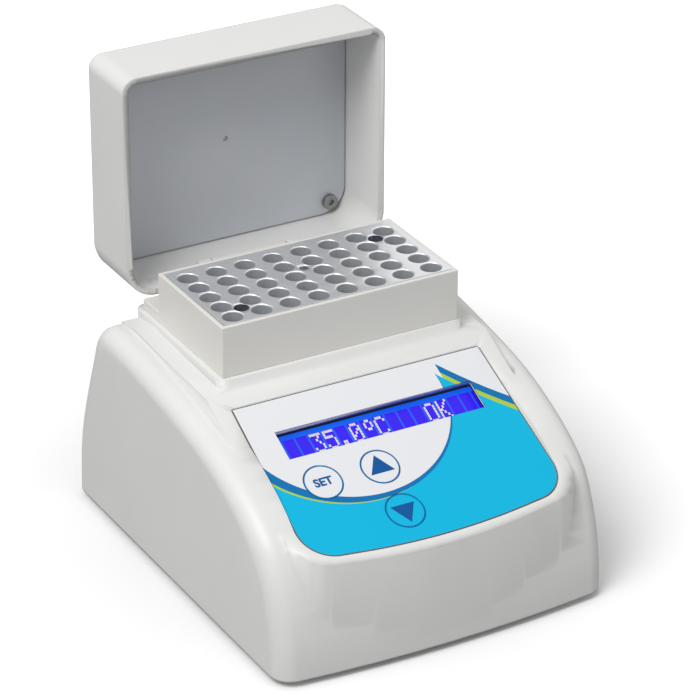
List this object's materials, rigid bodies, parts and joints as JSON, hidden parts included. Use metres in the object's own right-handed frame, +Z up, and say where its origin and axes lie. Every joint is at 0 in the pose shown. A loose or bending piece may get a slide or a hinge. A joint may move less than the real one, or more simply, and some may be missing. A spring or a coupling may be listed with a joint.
{
  "type": "dry block heater",
  "caption": "Bench dry block heater with a drilled tube block, a slanted key panel with a character display, and a deep hinged lid.",
  "frame": {"origin": "middle of the footprint on the bench, with the lid open", "axes": "+X to the user's right, -Y to the user (front), +Z up"},
  "size_m": [0.104, 0.1351, 0.1348],
  "materials": {
    "housing_plastic": "fine spark texture, satin",
    "surround_plastic": "satin",
    "lid_plastic": "satin",
    "block_metal": "bead-blasted, anodised",
    "liner_metal": "satin painted sheet",
    "steel": "plated",
    "black_steel": "black oxide",
    "brass": "turned",
    "rubber": "matt",
    "overlay_film": "printed polyester film",
    "cyan_film": "printed polyester film",
    "display_glass": "clear over a blue backlight",
    "circuit_board": "solder resist",
    "black_plastic": "moulded",
    "white_plastic": "moulded",
    "capacitor_sleeve": "shrink sleeve",
    "silicone": "heater sheet",
    "foam": "closed cell foam",
    "lead_sleeve": "silicone sleeve",
    "grey_ribbon": "ribbon cable",
    "rocker_red": "moulded"
  },
  "bodies": {
    "base": {"upper_housing": "housing_plastic", "base_plate": "housing_plastic", "rubber_feet": "rubber", "base_screws": "steel", "block_surround": "surround_plastic", "hinge_tongue": "surround_plastic", "hinge_screws": "steel", "hinge_pin": "steel", "heater_plate": "block_metal", "heater_pad": "silicone", "under_insulation": "foam", "heater_posts": "steel", "post_screws": "steel", "temperature_sensor": "steel", "thermal_cutout": "black_plastic", "main_board": "circuit_board", "board_standoffs": "brass", "board_screws": "steel", "board_capacitors": "capacitor_sleeve", "controller_chip": "black_plastic", "power_transistor": "black_plastic", "heat_sink": "black_steel", "board_connectors": "white_plastic", "buzzer": "black_plastic", "display_board": "circuit_board", "display_frame": "steel", "display_glass": "display_glass", "panel_overlay": "overlay_film", "key_switches": "black_plastic", "dc_socket": "black_plastic", "socket_nut": "steel", "switch_body": "black_plastic", "heater_leads": "lead_sleeve", "sensor_leads": "white_plastic", "display_leads": "grey_ribbon", "power_leads": "black_plastic"},
    "lid": {"lid_shell": "lid_plastic", "lid_insulation": "foam", "lid_liner": "liner_metal", "liner_screws": "steel"},
    "block": {"heating_block": "block_metal", "block_screws": "black_steel"},
    "set_key": {"set_key": "overlay_film"},
    "up_key": {"up_key": "overlay_film"},
    "down_key": {"down_key": "cyan_film"},
    "rocker": {"power_rocker": "rocker_red"}
  },
  "joints": [
    {"name": "lid_hinge", "type": "hinge", "parent": "base", "child": "lid", "pos_m": [0, 0.0495, 0.0689], "axis": [-1, 0, 0], "range_deg": [-90, 0]},
    {"name": "block_lift", "type": "slide", "parent": "base", "child": "block", "axis": [0, 0, 1], "range_m": [0, 0.04]},
    {"name": "set_key_press", "type": "slide", "parent": "base", "child": "set_key", "axis": [0, 0.4384, -0.8988], "range_m": [0, 0.0004], "stiffness_N_per_m": 1500},
    {"name": "up_key_press", "type": "slide", "parent": "base", "child": "up_key", "axis": [0, 0.4384, -0.8988], "range_m": [0, 0.0004], "stiffness_N_per_m": 1500},
    {"name": "down_key_press", "type": "slide", "parent": "base", "child": "down_key", "axis": [0, 0.4384, -0.8988], "range_m": [0, 0.0004], "stiffness_N_per_m": 1500},
    {"name": "rocker_switch", "type": "hinge", "parent": "base", "child": "rocker", "pos_m": [-0.02, 0.0588, 0.019], "axis": [1, 0, 0], "range_deg": [0, 16]}
  ]
}
